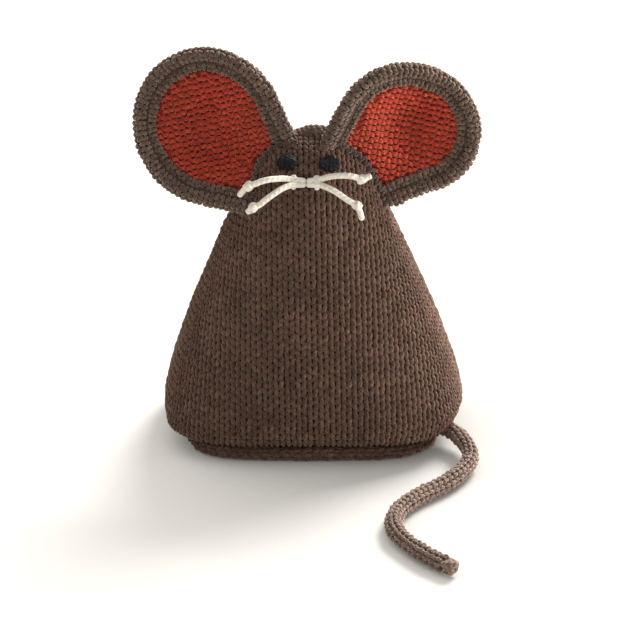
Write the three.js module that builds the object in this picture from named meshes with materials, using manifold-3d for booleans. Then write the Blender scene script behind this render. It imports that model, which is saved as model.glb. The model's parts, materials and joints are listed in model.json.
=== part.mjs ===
// A hand-knitted mouse toy: a stuffed stockinette body on a flat knitted base, two cupped ears with
// rolled borders, knotted eyes, yarn whiskers threaded through the nose, and a knitted cord for a tail.
// Millimetres, +Z up. The mouse faces -Y, and the origin is under the middle of the toy, on the table.
import * as THREE from "three";
import { mergeVertices } from "three/addons/utils/BufferGeometryUtils.js";
import Module from "manifold-3d";

const wasm = await Module();
wasm.setup();

// Driving dimensions of the body.
const bodyHeight = 143.4; // table to crown
const bodyHalfWidth = 69; // at its widest, just above the base
const bodyHalfDepth = 51;
const headLean = -2.6; // how far the crown stands to one side, as hand-stuffed toys do
const fabricThickness = 3; // one layer of knitting
const seamGap = 0.3; // clearance between pieces that touch
const foldGap = 0.55; // the ear's room to turn past the yarn that sews it on

// Driving dimensions of the base.
const baseHalfWidth = 57.8;
const baseHalfDepth = 47;
const weltWidth = 5; // the ridge where the body is joined to its base
const weltHeight = 5.6;
const basePanelThickness = 3.4;
const coverOverhang = 2.2; // how far the cover's lower edge stands outside the base

// Driving dimensions of an ear.
const leftEarRadius = 35.6; // middle of the ear to the outside of its border
const rightEarRadius = 32.7;
const earBorderWidth = 7.6; // the rolled border, seen from the front
const earBorderDepth = 8.6;
const earEdgingWidth = 3.9; // the cast-off edge between border and lining
const earEdgingDepth = 5.2;
const earEdgingOverlap = 0.7; // how far border and edging run into each other
const earDishDepth = 6.5; // how far the lining sinks in the middle
const earDishRise = 1.2; // how far the lining's edge stands in front of the border's middle
const liningThickness = 2.6;
const earBackThickness = 2.8;
const earSeamYarn = 3; // the yarn that sews the ear on
const earSeamLength = 43;

// Driving dimensions of the face and the crown.
const eyeWidth = 8.4;
const eyeHeight = 6.6;
const eyeRise = 2.7; // how far an eye stands out of the face
const whiskerDiameter = 2.6;
const whiskerKnotDiameter = 4.4;
const whiskerKnotLength = 6;
const noseKnotWidth = 3.4;
const noseKnotHeight = 5.8;
const noseKnotDepth = 5;
const noseBarHeight = 3.8; // two strands of yarn, one above the other, between the nose and a knot
const crownYarn = 2.6;
const crownSeamLength = 15;
const crownSeamHalfWidth = 4.4;
const crownStitchSlant = -4;
const crownSeamShift = 1.6; // towards the right ear, from the crown's middle

// Driving dimensions of the tail.
const tailDiameter = 8.3;
const tailKnotDiameter = 9.4;
const tailKnotLength = 7;

// How finely the round shapes are faceted.
const bodySides = 40;
const earSides = 30;
const bowlRings = 5;
const borderSteps = 30;
const borderSides = 10;
const yarnSides = 8;
const seamSides = 6;
const yarnSteps = 18;
const tailSides = 10;
const tailSteps = 32;
const knotSides = 12;
const knotRings = 8;
const crownStitches = 7;
const stepsPerStitch = 4;
const mergeTolerance = 1e-3;
const sliverSize = 0.12;

const brownYarn = new THREE.MeshStandardMaterial({ color: 0x6e5a50, roughness: 0.95, metalness: 0 });
const baseYarn = new THREE.MeshStandardMaterial({ color: 0x67544a, roughness: 0.95, metalness: 0 });
const borderYarn = new THREE.MeshStandardMaterial({ color: 0x725e53, roughness: 0.95, metalness: 0 });
const liningYarn = new THREE.MeshStandardMaterial({ color: 0xc25842, roughness: 0.95, metalness: 0 });
const blackYarn = new THREE.MeshStandardMaterial({ color: 0x1d1b22, roughness: 0.85, metalness: 0 });
const ivoryYarn = new THREE.MeshStandardMaterial({ color: 0xe9e2d3, roughness: 0.9, metalness: 0 });
const tailYarn = new THREE.MeshStandardMaterial({ color: 0x8a766a, roughness: 0.95, metalness: 0 });
const fibreFill = new THREE.MeshStandardMaterial({ color: 0xf4f2ee, roughness: 1, metalness: 0 });

// A closed three.js geometry as a solid that can be joined and cut.
function toSolid(geometry) {
  const bare = new THREE.BufferGeometry();
  bare.setAttribute("position", geometry.getAttribute("position").clone());
  if (geometry.index) bare.setIndex(geometry.index.clone());
  const merged = mergeVertices(bare, mergeTolerance);
  const triVerts = [];
  for (let i = 0; i < merged.index.count; i += 3) {
    const [a, b, c] = [0, 1, 2].map((k) => merged.index.getX(i + k));
    if (a !== b && b !== c && c !== a) triVerts.push(a, b, c);
  }
  const mesh = new wasm.Mesh({
    numProp: 3,
    vertProperties: new Float32Array(merged.getAttribute("position").array),
    triVerts: new Uint32Array(triVerts),
  });
  return new wasm.Manifold(mesh);
}

function fromSolid(solid) {
  const mesh = solid.getMesh();
  const points = new Float32Array(mesh.numVert * 3);
  for (let i = 0; i < mesh.numVert; i++) {
    points.set(mesh.vertProperties.subarray(i * mesh.numProp, i * mesh.numProp + 3), i * 3);
  }
  const geometry = new THREE.BufferGeometry();
  geometry.setAttribute("position", new THREE.BufferAttribute(points, 3));
  geometry.setIndex(new THREE.BufferAttribute(new Uint32Array(mesh.triVerts), 1));
  return geometry;
}

function largestPiece(solid) {
  return solid.decompose().sort((a, b) => b.volume() - a.volume())[0];
}

// A cut solid as a three.js geometry, without the slivers and loose crumbs that a cut leaves.
function toGeometry(solid) {
  const clean = largestPiece(solid.simplify(sliverSize));
  const geometry = fromSolid(largestPiece(toSolid(fromSolid(clean))));
  geometry.computeVertexNormals();
  return geometry;
}

function namedMesh(name, geometry, material) {
  const mesh = new THREE.Mesh(geometry, material);
  mesh.name = name;
  return mesh;
}

function cutMesh(name, solid, material) {
  return namedMesh(name, toGeometry(solid), material);
}

// A round tube along a smooth line of points. Its section is a polygon, wide by deep.
function tube(points, width, depth, sides, steps) {
  const path = new THREE.CatmullRomCurve3(points, false, "centripetal");
  const corners = Array.from({ length: sides }, (_, i) => {
    const angle = (2 * Math.PI * i) / sides;
    return new THREE.Vector2((depth / 2) * Math.cos(angle), (width / 2) * Math.sin(angle));
  });
  return new THREE.ExtrudeGeometry(new THREE.Shape(corners), { steps, extrudePath: path });
}

// A knot of yarn: a ball stretched along its three axes.
function knot(width, height, depth) {
  return new THREE.SphereGeometry(1, knotSides, knotRings).scale(width / 2, height / 2, depth / 2);
}

// The body.

const coverSeat = weltHeight + seamGap; // where the cover's lower edge rests on the welt

// The body's outline: [height, half-width, half-depth], as shares of the cover's height above its seat
// and of the body's half-width and half-depth.
const outlineShares = [
  [0.003, 0.955, 0.965],
  [0.02, 0.988, 0.99],
  [0.045, 0.998, 0.998],
  [0.085, 1, 1],
  [0.183, 0.955, 0.968],
  [0.312, 0.869, 0.886],
  [0.414, 0.793, 0.808],
  [0.519, 0.704, 0.722],
  [0.635, 0.607, 0.622],
  [0.73, 0.525, 0.534],
  [0.821, 0.454, 0.456],
  [0.905, 0.382, 0.372],
  [0.957, 0.29, 0.278],
  [0.985, 0.185, 0.175],
];
const insideStart = 2; // the first row that the inside follows, past the tuck over the welt
const seatShares = [
  0,
  (baseHalfWidth + coverOverhang) / bodyHalfWidth,
  (baseHalfDepth + coverOverhang) / bodyHalfDepth,
];
const crownShares = [1, 0, 0];
const bodyShares = [seatShares, ...outlineShares, crownShares];

const squarenessAtBase = 2.95; // exponent of the rounded-square section; 2 is an ellipse
const squarenessAtCrown = 2.05;
const squarenessFallPower = 0.55;

// The body's section at a share of the cover's height, drawn in by an inset.
function bodyRing([heightShare, widthShare, depthShare], inset) {
  const crown = bodyHeight - inset;
  const z = coverSeat + heightShare * (crown - coverSeat);
  const closed = heightShare === 1;
  return {
    z,
    halfWidth: closed ? 0 : bodyHalfWidth * widthShare - inset,
    halfDepth: closed ? 0 : bodyHalfDepth * depthShare - inset,
    centreX: (headLean * z) / bodyHeight,
    squareness:
      squarenessAtBase + (squarenessAtCrown - squarenessAtBase) * heightShare ** squarenessFallPower,
  };
}

// A point on a rounded-square section, at an angle from the front.
function sectionPoint(ring, angle) {
  const power = 2 / ring.squareness;
  const across = Math.sin(angle);
  const along = -Math.cos(angle);
  return new THREE.Vector3(
    ring.centreX + ring.halfWidth * Math.sign(across) * Math.abs(across) ** power,
    ring.halfDepth * Math.sign(along) * Math.abs(along) ** power,
    ring.z,
  );
}

// A closed skin through sections, listed with the outside on the way up. It is a lathe whose points are
// moved onto the sections, so the list starts and ends at a point or closes on itself.
function sectionSkin(rings) {
  const profile = rings.map((_, i) => new THREE.Vector2(1, i));
  const lathe = new THREE.LatheGeometry(profile, bodySides);
  const position = lathe.getAttribute("position");
  for (let i = 0; i < position.count; i++) {
    const turn = Math.floor(i / rings.length) % bodySides;
    const point = sectionPoint(rings[i % rings.length], (2 * Math.PI * turn) / bodySides);
    position.setXYZ(i, point.x, point.y, point.z);
  }
  return lathe;
}

function shrunkToPoint(ring) {
  return { ...ring, halfWidth: 0, halfDepth: 0 };
}

// The outside of the body as one solid, grown by a margin, for cutting what is sewn to it.
function bodySolid(margin) {
  const rings = bodyShares.map((shares) => bodyRing(shares, -margin));
  return toSolid(sectionSkin([shrunkToPoint(rings[0]), ...rings]));
}

function bodyCover() {
  const outside = bodyShares.map((shares) => bodyRing(shares, 0));
  const insideShares = [seatShares, ...outlineShares.slice(insideStart), crownShares];
  const inside = insideShares.map((shares) => bodyRing(shares, fabricThickness)).reverse();
  return sectionSkin([...outside, ...inside, outside[0]]);
}

function bodyStuffing() {
  const inset = fabricThickness + seamGap;
  const insideShares = [...outlineShares.slice(insideStart), crownShares];
  const rings = insideShares.map((shares) => bodyRing(shares, inset));
  const foot = {
    ...rings[0],
    halfWidth: baseHalfWidth - weltWidth - seamGap,
    halfDepth: baseHalfDepth - weltWidth - seamGap,
    centreX: 0,
    squareness: squarenessAtBase,
  };
  const overWelt = { ...foot, z: coverSeat + seamGap };
  const overPanel = { ...foot, z: basePanelThickness + seamGap };
  return sectionSkin([shrunkToPoint(overPanel), overPanel, overWelt, ...rings]);
}

// The base.

function baseRing(inset, z) {
  return {
    z,
    halfWidth: baseHalfWidth - inset,
    halfDepth: baseHalfDepth - inset,
    centreX: 0,
    squareness: squarenessAtBase,
  };
}

// The welt's section: [inset, up] as shares of its width and height, flat below and round above.
const weltShares = [
  [0.82, 0],
  [0.18, 0],
  [0, 0.22],
  [0, 0.55],
  [0.14, 0.88],
  [0.5, 1],
  [0.86, 0.88],
  [1, 0.5],
];

function baseWelt() {
  const rings = weltShares.map(([inset, up]) => baseRing(inset * weltWidth, up * weltHeight));
  return sectionSkin([...rings, rings[0]]);
}

// The base panel's edge: [inset, up] as shares of its thickness.
const panelEdgeShares = [
  [0.3, 0],
  [0, 0.3],
  [0, 0.75],
  [0.2, 1],
];

function basePanel() {
  const reach = weltWidth + seamGap;
  const rings = panelEdgeShares.map(([inset, up]) =>
    baseRing(reach + inset * basePanelThickness, up * basePanelThickness),
  );
  return sectionSkin([shrunkToPoint(rings[0]), ...rings, shrunkToPoint(rings[rings.length - 1])]);
}

// Places on the body.

// The outline between two of its rows.
function sharesAt(heightShare) {
  const above = Math.max(1, bodyShares.findIndex((shares) => shares[0] >= heightShare));
  const [low, high] = [bodyShares[above - 1], bodyShares[above]];
  const t = (heightShare - low[0]) / (high[0] - low[0]);
  return low.map((value, i) => value + t * (high[i] - value));
}

function bodyPoint([heightShare, angle]) {
  return sectionPoint(bodyRing(sharesAt(heightShare), 0), angle);
}

function isInBody(point) {
  const heightShare = (point.z - coverSeat) / (bodyHeight - coverSeat);
  if (heightShare >= 1) return false;
  const ring = bodyRing(sharesAt(Math.max(heightShare, 0)), 0);
  const across = Math.abs(point.x - ring.centreX) / ring.halfWidth;
  const along = Math.abs(point.y) / ring.halfDepth;
  return across ** ring.squareness + along ** ring.squareness < 1;
}

// Where a straight line from a point outside first meets the body.
const searchSteps = 2000;

function dropToBody(start, direction) {
  const step = bodyHeight / searchSteps;
  const point = start.clone();
  for (let i = 0; i < searchSteps && !isInBody(point); i++) {
    point.addScaledVector(direction, step);
  }
  return point;
}

// A frame on the body's surface: X to the viewer's right, Y up the face, Z out of it.
const surfaceStepShare = 0.01;

function surfaceFrame([heightShare, angle]) {
  const middle = bodyPoint([heightShare, angle]);
  const up = bodyPoint([heightShare + surfaceStepShare, angle])
    .sub(bodyPoint([heightShare - surfaceStepShare, angle]))
    .normalize();
  const across = bodyPoint([heightShare, angle + surfaceStepShare])
    .sub(bodyPoint([heightShare, angle - surfaceStepShare]))
    .normalize();
  const out = across.clone().cross(up).normalize();
  return new THREE.Matrix4().makeBasis(up.clone().cross(out), up, out).setPosition(middle);
}

const bodyRoom = bodySolid(seamGap); // what a piece sewn to the body is cut by

// The crown.

// One yarn oversews the crown: each stitch crosses from front to back on a slant, next to the last.
function crownStitch(place, margin) {
  const halfWidth = crownSeamHalfWidth + margin;
  const middle = headLean + crownSeamShift + place * (crownSeamLength - crownYarn);
  const points = Array.from({ length: stepsPerStitch + 1 }, (_, i) => {
    const share = (2 * i) / stepsPerStitch - 1;
    const x = middle + (share * crownStitchSlant) / 2;
    const above = new THREE.Vector3(x, share * halfWidth, bodyHeight + crownYarn);
    const seat = dropToBody(above, new THREE.Vector3(0, 0, -1));
    return seat.setZ(seat.z + seamGap + crownYarn / 2);
  });
  const thickness = crownYarn + 2 * margin;
  return toSolid(tube(points, thickness, thickness, seamSides, stepsPerStitch));
}

function crownSolid(margin) {
  let solid = crownStitch(-0.5, margin);
  for (let i = 1; i < crownStitches; i++) {
    solid = solid.add(crownStitch(i / (crownStitches - 1) - 0.5, margin));
  }
  return solid;
}

const crownRoom = crownSolid(seamGap);

function makeCrownSeam() {
  return cutMesh("crown_seam", crownSolid(0).subtract(bodyRoom), brownYarn);
}

// The ears.
// In an ear's own frame the hinge line is the X axis, the ear reaches out along +Y, and its lining
// faces +Z. A seam's ends are places on the body: [height share, angle from the front].

const leftEar = {
  side: "left",
  radius: leftEarRadius,
  hingeStart: [0.83, -1.15],
  hingeEnd: [0.965, -1.2],
  facing: new THREE.Vector3(-0.1, -0.94, 0.32),
  standOff: 23.7, // the ear's middle above the hinge line
  shift: 3.6, // and along it
  curl: 4, // how far the ear's two sides come forward
  stretch: 0.043, // how much longer than round it is, towards stretchTurn
  stretchTurn: THREE.MathUtils.degToRad(26),
  startFlank: THREE.MathUtils.degToRad(108), // where its outline leaves the arc and runs straight
  endFlank: THREE.MathUtils.degToRad(125),
};
const rightEar = {
  side: "right",
  radius: rightEarRadius,
  hingeStart: [0.965, 1.2],
  hingeEnd: [0.84, 1.5],
  facing: new THREE.Vector3(0.23, -0.97, 0.03),
  standOff: 21.4,
  shift: 2.2,
  curl: 5,
  stretch: 0.085,
  stretchTurn: THREE.MathUtils.degToRad(61),
  startFlank: THREE.MathUtils.degToRad(106),
  endFlank: THREE.MathUtils.degToRad(111),
};
const earFoldBack = THREE.MathUtils.degToRad(-35);
const earFoldForward = THREE.MathUtils.degToRad(25);
const foldSteps = 6;
const arcPoints = 14;
const seamPoints = 9;

function earFrame(ear) {
  const hinge = bodyPoint(ear.hingeEnd).sub(bodyPoint(ear.hingeStart)).normalize();
  const outward = ear.facing.clone().cross(hinge).normalize();
  const front = hinge.clone().cross(outward).normalize();
  const chordMiddle = bodyPoint(ear.hingeEnd).add(bodyPoint(ear.hingeStart)).multiplyScalar(0.5);
  const above = chordMiddle.addScaledVector(outward, ear.radius);
  const seat = dropToBody(above, outward.clone().negate());
  seat.addScaledVector(outward, seamGap + earSeamYarn / 2);
  return new THREE.Matrix4().makeBasis(hinge, outward, front).setPosition(seat);
}

// The yarn that sews the ear on, along the line where the ear's plane meets the body.
function earSeam(ear, frame, margin) {
  const outward = new THREE.Vector3().setFromMatrixColumn(frame, 1);
  const toBody = outward.clone().negate();
  const points = Array.from({ length: seamPoints }, (_, i) => {
    const along = (i / (seamPoints - 1) - 0.5) * (earSeamLength + 2 * margin);
    const above = new THREE.Vector3(along, ear.radius, 0).applyMatrix4(frame);
    return dropToBody(above, toBody).addScaledVector(outward, seamGap + earSeamYarn / 2);
  });
  const thickness = earSeamYarn + 2 * margin;
  return toSolid(tube(points, thickness, thickness, seamSides, seamPoints));
}

// The ear's outline, drawn in by an inset: a slightly stretched arc round its middle, and two straight
// flanks that run down past the hinge line.
function earOutline(ear, inset, overrun) {
  const onArc = (angle) => {
    const longer = 1 + ear.stretch * Math.cos(2 * (angle - ear.stretchTurn));
    const reach = (ear.radius - inset) * longer;
    return new THREE.Vector2(ear.shift + reach * Math.sin(angle), ear.standOff + reach * Math.cos(angle));
  };
  const footOf = (flank) => {
    const start = onArc(flank);
    const run = (start.y + overrun) / Math.sin(flank);
    return new THREE.Vector2(start.x + run * Math.cos(flank), -overrun);
  };
  const sweep = ear.startFlank + ear.endFlank;
  const arc = Array.from({ length: arcPoints + 1 }, (_, i) =>
    onArc((sweep * i) / arcPoints - ear.startFlank),
  );
  return [footOf(-ear.startFlank), ...arc, footOf(ear.endFlank)];
}

function borderTube(ear, inset, width, depth, sides) {
  const line = earOutline(ear, inset + width / 2, earBorderDepth);
  const points = line.map((point) => new THREE.Vector3(point.x, point.y, 0));
  return toSolid(curled(tube(points, width, depth, sides, borderSteps), ear));
}

// A shallow bowl of even thickness round the ear's middle, its hollow facing +Z.
function bowl(ear, reach, thickness, lift) {
  const sink = (share) => (earDishDepth / 2) * (1 + Math.cos(Math.PI * Math.min(share, 1)));
  const front = Array.from({ length: bowlRings + 1 }, (_, i) => {
    const share = i / bowlRings;
    return new THREE.Vector2(reach * share, lift - sink(share));
  });
  front.push(new THREE.Vector2(ear.radius + earBorderWidth, lift));
  const back = front.map((point) => new THREE.Vector2(point.x, point.y - thickness));
  const dish = new THREE.LatheGeometry([...back, ...front.reverse()], earSides);
  return dish.rotateX(Math.PI / 2).translate(ear.shift, ear.standOff, 0);
}

// The ear comes forward at its two sides, as a cupped hand does.
function curled(geometry, ear) {
  const position = geometry.getAttribute("position");
  for (let i = 0; i < position.count; i++) {
    const share = (position.getX(i) - ear.shift) / ear.radius;
    position.setZ(i, position.getZ(i) + ear.curl * share ** 2);
  }
  return geometry;
}

// One layer of the ear's fabric, inside its border.
function earLayer(ear, thickness, lift) {
  const inset = earBorderWidth + earEdgingWidth - earEdgingOverlap + seamGap;
  const outline = new THREE.Shape(earOutline(ear, inset, earBorderDepth));
  const block = new THREE.ExtrudeGeometry(outline, { depth: 2 * ear.radius, bevelEnabled: false });
  block.translate(0, 0, -ear.radius);
  const dish = curled(bowl(ear, ear.radius - inset, thickness, lift), ear);
  return toSolid(dish).intersect(toSolid(block));
}

// All that the ear stays clear of as it folds: the body and its seams, turned back through each angle.
function foldRoom(ear, frame) {
  const toEar = frame.clone().invert();
  const seams = earSeam(ear, frame, foldGap).add(crownSolid(foldGap));
  const fixed = bodyRoom.add(seams).transform(toEar.elements);
  let room = fixed;
  for (let i = 0; i <= foldSteps; i++) {
    const fold = earFoldBack + ((earFoldForward - earFoldBack) * i) / foldSteps;
    room = room.add(fixed.rotate([-THREE.MathUtils.radToDeg(fold), 0, 0]));
  }
  return room.simplify(sliverSize);
}

function makeEar(ear) {
  const frame = earFrame(ear);
  const room = foldRoom(ear, frame);
  const edgingInset = earBorderWidth - earEdgingOverlap;
  const border = borderTube(ear, 0, earBorderWidth, earBorderDepth, borderSides);
  const edging = borderTube(ear, edgingInset, earEdgingWidth, earEdgingDepth, yarnSides);
  const backLift = earDishRise - liningThickness - seamGap;
  const ownPieces = new THREE.Group();
  const lining = earLayer(ear, liningThickness, earDishRise);
  const back = earLayer(ear, earBackThickness, backLift);
  ownPieces.add(
    cutMesh(`ear_border_${ear.side}`, border.add(edging).subtract(room), borderYarn),
    cutMesh(`ear_lining_${ear.side}`, lining.subtract(room), liningYarn),
    cutMesh(`ear_back_${ear.side}`, back.subtract(room), brownYarn),
  );
  frame.decompose(ownPieces.position, ownPieces.quaternion, ownPieces.scale);
  const seam = earSeam(ear, frame, 0).subtract(bodyRoom).subtract(crownRoom);
  return [ownPieces, cutMesh(`ear_seam_${ear.side}`, seam, brownYarn)];
}

// The face.

const eyePlaces = { left: [0.93, -0.413], right: [0.926, 0.363] };
const noseKnotPlaces = { left: [0.872, -0.218], right: [0.871, 0.102] };
const nosePlace = [0.87, -0.039];
const eyeStrands = 3;
const strandOverlap = 1.25; // a strand's width over the pitch of the strands

function makeEye(side) {
  const pitch = eyeWidth / eyeStrands;
  let eye = null;
  for (let i = 0; i < eyeStrands; i++) {
    const strand = knot(pitch * strandOverlap, eyeHeight, 2 * eyeRise);
    strand.translate((i - (eyeStrands - 1) / 2) * pitch, 0, 0);
    eye = eye ? eye.add(toSolid(strand)) : toSolid(strand);
  }
  const placed = eye.transform(surfaceFrame(eyePlaces[side]).elements);
  return cutMesh(`eye_${side}`, placed.subtract(bodyRoom), blackYarn);
}

// The knot beside the nose, with the doubled yarn that runs from it into the nose.
function noseKnotSolid(side, margin) {
  const place = noseKnotPlaces[side];
  const length = bodyPoint(place).distanceTo(bodyPoint(nosePlace)) - seamGap;
  const bar = new THREE.CylinderGeometry(1, 1, length, knotSides)
    .rotateZ(Math.PI / 2)
    .scale(1, noseBarHeight / 2 + margin, whiskerDiameter / 2 + margin)
    .translate(side === "left" ? length / 2 : -length / 2, 0, whiskerDiameter / 2);
  const ball = knot(
    noseKnotWidth + 2 * margin,
    noseKnotHeight + 2 * margin,
    noseKnotDepth + 2 * margin,
  ).translate(0, 0, noseKnotDepth / 2 - seamGap);
  return toSolid(bar).add(toSolid(ball)).transform(surfaceFrame(place).elements);
}

function makeNoseKnot(side) {
  return cutMesh(`whisker_knot_${side}`, noseKnotSolid(side, 0).subtract(bodyRoom), ivoryYarn);
}

// Each whisker's route, from the nose to its cut end past the knot.
const whiskerRoutes = {
  upper_left: [
    [-3.8, -21.8, 126.8], [-6.5, -22, 127.2], [-8.9, -22.4, 127.6], [-10.6, -23, 128.1],
    [-14, -24.8, 129.1], [-16.8, -26.2, 129.4], [-19.8, -27.2, 129.5], [-22.1, -27.6, 129.1],
    [-24.2, -27.8, 128.5], [-26, -27.8, 127.7], [-27.8, -27.6, 127.1], [-29.4, -27.2, 126.3],
    [-30.9, -26.8, 124.9], [-32.3, -26.2, 123], [-33.5, -25.6, 121.3],
  ],
  lower_left: [
    [-3.8, -22.2, 125.4], [-6.5, -22.8, 125.5], [-8.9, -24, 125.8], [-10.6, -25.1, 126],
    [-12.8, -26.6, 125.7], [-14.9, -28, 125.1], [-17.3, -29, 123.8], [-19.7, -29.8, 122.3],
    [-22, -30.2, 120.6], [-24, -30.4, 118.9], [-25.6, -30.4, 118], [-27.2, -30.4, 117.3],
    [-28.1, -30.2, 116.4], [-29, -30, 115.7], [-29.9, -29.8, 114.8],
  ],
  upper_right: [
    [-3.5, -21.8, 126.7], [-1.6, -22, 127], [1, -22.4, 127.5], [3.4, -23.2, 128.4],
    [6, -24.6, 129.7], [8.7, -26, 130.6], [11.1, -27, 131.2], [13.5, -27.6, 131.4],
    [15.9, -27.8, 131.3], [18.3, -27.6, 130.7], [19.8, -27.2, 129.9], [21, -26.8, 129.4],
    [22.4, -26.6, 129.7], [23.9, -26.4, 130.4], [25.4, -26.2, 131],
  ],
  lower_right: [
    [-3.5, -22.2, 125.3], [-1.6, -22.8, 125.5], [1, -24, 125.8], [3.4, -25.1, 125.9],
    [5.6, -26.6, 125.5], [7.7, -28, 125], [10.2, -28.8, 123.7], [12.6, -29.4, 122.2],
    [14.5, -29.8, 120.9], [16.4, -30, 119.8], [17.8, -30, 119], [19.1, -30, 118],
    [20.1, -29.8, 116], [20.7, -29.6, 113.7], [21.3, -29.4, 111.4],
  ],
};
const noseKnotIndex = 2; // which point of its route lies in the knot beside the nose
const whiskerKnotIndex = 11; // which point of its route a whisker's own knot sits on

function makeWhisker(name) {
  const side = name.split("_")[1];
  const route = whiskerRoutes[name].map((point) => new THREE.Vector3(...point));
  const free = route.slice(noseKnotIndex);
  const strand = toSolid(tube(free, whiskerDiameter, whiskerDiameter, yarnSides, yarnSteps));
  const middle = route[whiskerKnotIndex];
  const along = route[whiskerKnotIndex + 1].clone().sub(route[whiskerKnotIndex - 1]).normalize();
  const ball = knot(whiskerKnotLength, whiskerKnotDiameter, whiskerKnotDiameter);
  ball.applyQuaternion(new THREE.Quaternion().setFromUnitVectors(new THREE.Vector3(1, 0, 0), along));
  ball.translate(...middle);
  const whisker = strand.add(toSolid(ball)).subtract(noseKnotSolid(side, seamGap));
  return cutMesh(`whisker_${name}`, whisker, ivoryYarn);
}

// The tail.

const tailRoute = [
  [59, -24.8, 8.3], [62, -27.9, 8.2], [65.2, -32.8, 7.9], [67.9, -39.6, 7.3], [69.9, -47.6, 6.4],
  [69.9, -56.5, 5.4], [64.6, -68, 4.6], [57.5, -78, 4.2], [48.6, -87.5, 4.15], [41.2, -97, 4.15],
  [36, -107.5, 4.15], [34.2, -118, 4.15], [36, -129, 4.15], [41, -139.6, 4.15], [47.6, -149, 4.15],
  [51.6, -153.6, 4.15], [55.4, -157.6, 4.15],
];

function tailCurve() {
  const points = tailRoute.map((point) => new THREE.Vector3(...point));
  return new THREE.CatmullRomCurve3(points, false, "centripetal");
}

function makeTail() {
  const cord = toSolid(tube(tailCurve().points, tailDiameter, tailDiameter, tailSides, tailSteps));
  return cutMesh("tail", cord.subtract(bodyRoom), tailYarn);
}

function makeTailKnot() {
  const along = tailCurve().getTangent(1);
  const end = tailCurve().getPoint(1);
  const half = tailKnotLength / 2;
  const ball = knot(tailKnotLength, tailKnotDiameter, tailKnotDiameter);
  ball.applyQuaternion(new THREE.Quaternion().setFromUnitVectors(new THREE.Vector3(1, 0, 0), along));
  end.addScaledVector(along, half + seamGap);
  ball.translate(end.x, end.y, tailKnotDiameter / 2);
  return namedMesh("tail_end_knot", ball, tailYarn);
}

// The whole toy.

const toy = new THREE.Group();
toy.add(
  namedMesh("body_cover", bodyCover(), brownYarn),
  namedMesh("body_stuffing", bodyStuffing(), fibreFill),
  namedMesh("base_welt", baseWelt(), baseYarn),
  namedMesh("base_panel", basePanel(), baseYarn),
  makeCrownSeam(),
  ...makeEar(leftEar),
  ...makeEar(rightEar),
  makeEye("left"),
  makeEye("right"),
  makeNoseKnot("left"),
  makeNoseKnot("right"),
);

// The left ear reaches further out than the right one, so the toy is moved to stand over the origin.
toy.updateMatrixWorld(true);
toy.position.x = -new THREE.Box3().setFromObject(toy, true).getCenter(new THREE.Vector3()).x;

toy.add(...Object.keys(whiskerRoutes).map(makeWhisker), makeTail(), makeTailKnot());

export default toy;
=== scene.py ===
# A hand-knitted mouse toy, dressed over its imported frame: every visible stitch is a piece of yarn.
# Metres, +Z up. The face looks towards -Y.
import json
import math
import bmesh
import bpy
import numpy as np
from mathutils import Matrix, Vector


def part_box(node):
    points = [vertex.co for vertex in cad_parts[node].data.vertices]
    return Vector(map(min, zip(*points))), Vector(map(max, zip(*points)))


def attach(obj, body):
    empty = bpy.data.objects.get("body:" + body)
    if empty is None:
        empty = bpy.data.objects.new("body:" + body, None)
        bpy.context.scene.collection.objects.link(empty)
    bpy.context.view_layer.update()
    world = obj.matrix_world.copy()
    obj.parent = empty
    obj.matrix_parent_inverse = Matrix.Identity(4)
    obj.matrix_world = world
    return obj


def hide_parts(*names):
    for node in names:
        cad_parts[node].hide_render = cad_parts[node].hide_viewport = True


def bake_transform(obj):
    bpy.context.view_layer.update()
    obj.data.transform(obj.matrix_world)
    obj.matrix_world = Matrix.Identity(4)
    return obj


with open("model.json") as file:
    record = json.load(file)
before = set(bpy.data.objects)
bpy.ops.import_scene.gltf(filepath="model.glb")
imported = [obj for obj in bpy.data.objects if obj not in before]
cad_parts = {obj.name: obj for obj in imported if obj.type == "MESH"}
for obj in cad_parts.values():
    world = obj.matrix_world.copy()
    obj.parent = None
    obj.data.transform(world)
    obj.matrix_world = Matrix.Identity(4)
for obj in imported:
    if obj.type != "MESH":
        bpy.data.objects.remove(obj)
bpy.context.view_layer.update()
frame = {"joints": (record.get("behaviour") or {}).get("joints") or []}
mm = 0.001
scene = bpy.context.scene
scene.view_settings.view_transform = "Standard"
dice = np.random.default_rng(11)
upward = Vector((0, 0, 1))
tableGap = 0.05 * mm  # what lies on the table stays this far above it
probe = 0.3 * mm  # how far apart the places are that give a surface's slope
baseLow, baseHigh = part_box("base_panel")
baseX = (baseLow.x + baseHigh.x) / 2  # the middle of the base stands a little to one side of the origin
print("frame loaded, the base is at x", round(baseX / mm, 2))

cameraSetup = {
    "distance": 1400 * mm,
    "elevation": 22,
    "aimX": 2.54 * mm,  # to the right of the base's middle
    "aimZ": 51.2 * mm,
    "lens": 170.4,
    "sensor": 36,
    "farthest": 20,
}


def placeCamera(setup):
    data = bpy.data.cameras.new("camera")
    data.lens = setup["lens"]
    data.sensor_width = setup["sensor"]
    data.clip_end = setup["farthest"]
    camera = bpy.data.objects.new("camera", data)
    scene.collection.objects.link(camera)
    tilt = math.radians(setup["elevation"])
    aim = Vector((baseX + setup["aimX"], 0, setup["aimZ"]))
    camera.location = aim + setup["distance"] * Vector((0, -math.cos(tilt), math.sin(tilt)))
    camera.rotation_euler = (math.radians(90) - tilt, 0, 0)
    scene.camera = camera


placeCamera(cameraSetup)
print("camera placed")


# Materials.


def linear(hexText):
    values = [int(hexText[i : i + 2], 16) / 255 for i in (0, 2, 4)]
    return [v / 12.92 if v <= 0.04045 else ((v + 0.055) / 1.055) ** 2.4 for v in values] + [1]


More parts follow.
